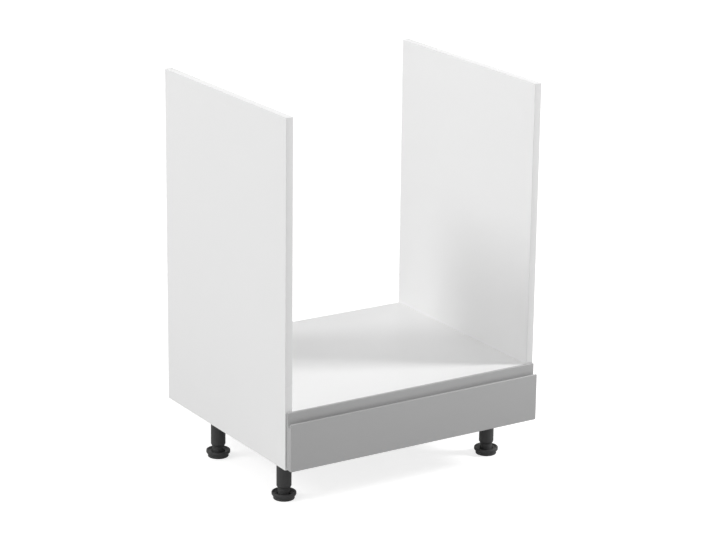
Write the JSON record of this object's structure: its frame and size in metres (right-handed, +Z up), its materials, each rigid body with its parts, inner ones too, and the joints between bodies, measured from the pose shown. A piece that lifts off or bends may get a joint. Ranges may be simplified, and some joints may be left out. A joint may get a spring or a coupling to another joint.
{
  "type": "oven base cabinet",
  "caption": "Open-topped base cabinet for a built-in oven: tall white sides, oven shelf, grey handleless drawer below on telescopic runners, adjustable black legs.",
  "frame": {"origin": "on the floor under the middle of the cabinet's overall box", "axes": "+X to the right seen from the front, +Y towards the back, +Z up"},
  "size_m": [0.6, 0.51, 0.82],
  "materials": {
    "white_board": "smooth white melamine on chipboard",
    "white_edging": "smooth satin",
    "drawer_board": "smooth white melamine on chipboard",
    "hardboard": "white lacquered hardboard, brown underneath",
    "grey_lacquer": "smooth grey lacquer, semi-gloss",
    "runner_steel": "bright zinc plated",
    "cage_steel": "zinc plated",
    "ball_steel": "polished",
    "zinc": "die-cast zinc, nickel plated",
    "beech": "plain beech",
    "screw_steel": "zinc plated",
    "bumper_rubber": "clear soft bumper",
    "black_plastic": "moulded, fine grain"
  },
  "bodies": {
    "carcass": {"side_panel_left": "white_board", "side_panel_right": "white_board", "bottom_panel": "white_board", "oven_shelf": "white_board", "back_rail": "white_board", "edge_band_front_left": "white_edging", "edge_band_front_right": "white_edging", "edge_band_top_left": "white_edging", "edge_band_top_right": "white_edging", "edge_band_shelf": "white_edging", "edge_band_bottom": "white_edging", "cam_housings": "zinc", "cam_bolts": "zinc", "dowels": "beech", "runner_outer_left": "runner_steel", "runner_outer_right": "runner_steel", "runner_screws_cabinet": "screw_steel", "leg_screws": "screw_steel", "leg_plate_front_left": "black_plastic", "leg_tube_front_left": "black_plastic", "leg_plate_front_right": "black_plastic", "leg_tube_front_right": "black_plastic", "leg_plate_back_left": "black_plastic", "leg_tube_back_left": "black_plastic", "leg_plate_back_right": "black_plastic", "leg_tube_back_right": "black_plastic"},
    "drawer": {"drawer_front": "grey_lacquer", "drawer_subfront": "drawer_board", "drawer_side_left": "drawer_board", "drawer_side_right": "drawer_board", "drawer_back": "drawer_board", "drawer_bottom": "hardboard", "runner_inner_left": "runner_steel", "runner_inner_right": "runner_steel", "front_screws": "screw_steel", "box_dowels": "beech", "runner_screws_drawer": "screw_steel", "front_bumpers": "bumper_rubber"},
    "runner_middle_left": {"runner_middle_left": "runner_steel"},
    "cage_outer_left": {"cage_outer_left": "cage_steel", "balls_outer_left": "ball_steel"},
    "cage_inner_left": {"cage_inner_left": "cage_steel", "balls_inner_left": "ball_steel"},
    "runner_middle_right": {"runner_middle_right": "runner_steel"},
    "cage_outer_right": {"cage_outer_right": "cage_steel", "balls_outer_right": "ball_steel"},
    "cage_inner_right": {"cage_inner_right": "cage_steel", "balls_inner_right": "ball_steel"},
    "foot_front_left": {"foot_front_left": "black_plastic"},
    "foot_front_right": {"foot_front_right": "black_plastic"},
    "foot_back_left": {"foot_back_left": "black_plastic"},
    "foot_back_right": {"foot_back_right": "black_plastic"}
  },
  "joints": [
    {"name": "drawer_slide", "type": "slide", "parent": "carcass", "child": "drawer", "axis": [0, -1, 0], "range_m": [0, 0.45]},
    {"name": "runner_middle_slide_left", "type": "slide", "parent": "carcass", "child": "runner_middle_left", "axis": [0, -1, 0], "range_m": [0, 0.225]},
    {"name": "cage_outer_slide_left", "type": "slide", "parent": "carcass", "child": "cage_outer_left", "axis": [0, -1, 0], "range_m": [0, 0.1125]},
    {"name": "cage_inner_slide_left", "type": "slide", "parent": "carcass", "child": "cage_inner_left", "axis": [0, -1, 0], "range_m": [0, 0.3375]},
    {"name": "runner_middle_slide_right", "type": "slide", "parent": "carcass", "child": "runner_middle_right", "axis": [0, -1, 0], "range_m": [0, 0.225]},
    {"name": "cage_outer_slide_right", "type": "slide", "parent": "carcass", "child": "cage_outer_right", "axis": [0, -1, 0], "range_m": [0, 0.1125]},
    {"name": "cage_inner_slide_right", "type": "slide", "parent": "carcass", "child": "cage_inner_right", "axis": [0, -1, 0], "range_m": [0, 0.3375]},
    {"name": "foot_height_front_left", "type": "slide", "parent": "carcass", "child": "foot_front_left", "axis": [0, 0, -1], "range_m": [-0.008, 0.02]},
    {"name": "foot_height_front_right", "type": "slide", "parent": "carcass", "child": "foot_front_right", "axis": [0, 0, -1], "range_m": [-0.008, 0.02]},
    {"name": "foot_height_back_left", "type": "slide", "parent": "carcass", "child": "foot_back_left", "axis": [0, 0, -1], "range_m": [-0.008, 0.02]},
    {"name": "foot_height_back_right", "type": "slide", "parent": "carcass", "child": "foot_back_right", "axis": [0, 0, -1], "range_m": [-0.008, 0.02]}
  ],
  "couplings": [
    {"joint": "runner_middle_slide_left", "follows": "drawer_slide", "ratio": 0.5},
    {"joint": "cage_outer_slide_left", "follows": "drawer_slide", "ratio": 0.25},
    {"joint": "cage_inner_slide_left", "follows": "drawer_slide", "ratio": 0.75},
    {"joint": "runner_middle_slide_right", "follows": "drawer_slide", "ratio": 0.5},
    {"joint": "cage_outer_slide_right", "follows": "drawer_slide", "ratio": 0.25},
    {"joint": "cage_inner_slide_right", "follows": "drawer_slide", "ratio": 0.75}
  ]
}
